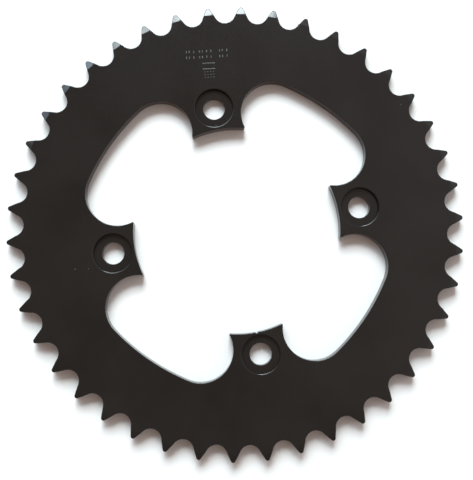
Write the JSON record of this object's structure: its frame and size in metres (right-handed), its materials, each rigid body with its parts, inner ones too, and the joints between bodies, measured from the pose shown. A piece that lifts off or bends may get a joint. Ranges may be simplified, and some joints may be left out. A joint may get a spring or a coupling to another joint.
{
  "type": "motorcycle rear sprocket",
  "caption": "Flat steel chain sprocket with bevelled teeth, a four-lobed window round the hub bore, and counterbored bolt holes in inward ears.",
  "frame": {"origin": "on the hub axis at the inner face, the flat face that goes against the wheel hub", "axes": "+Z along the hub axis out of the outer face, the one with the counterbores; +X and +Y each through the centre of a bolt hole"},
  "size_m": [0.2188, 0.2184, 0.0058],
  "materials": {
    "black_coating": "satin black coating on steel, smooth, with a soft sheen"
  },
  "bodies": {
    "root": {"sprocket_plate": "black_coating"}
  },
  "joints": []
}
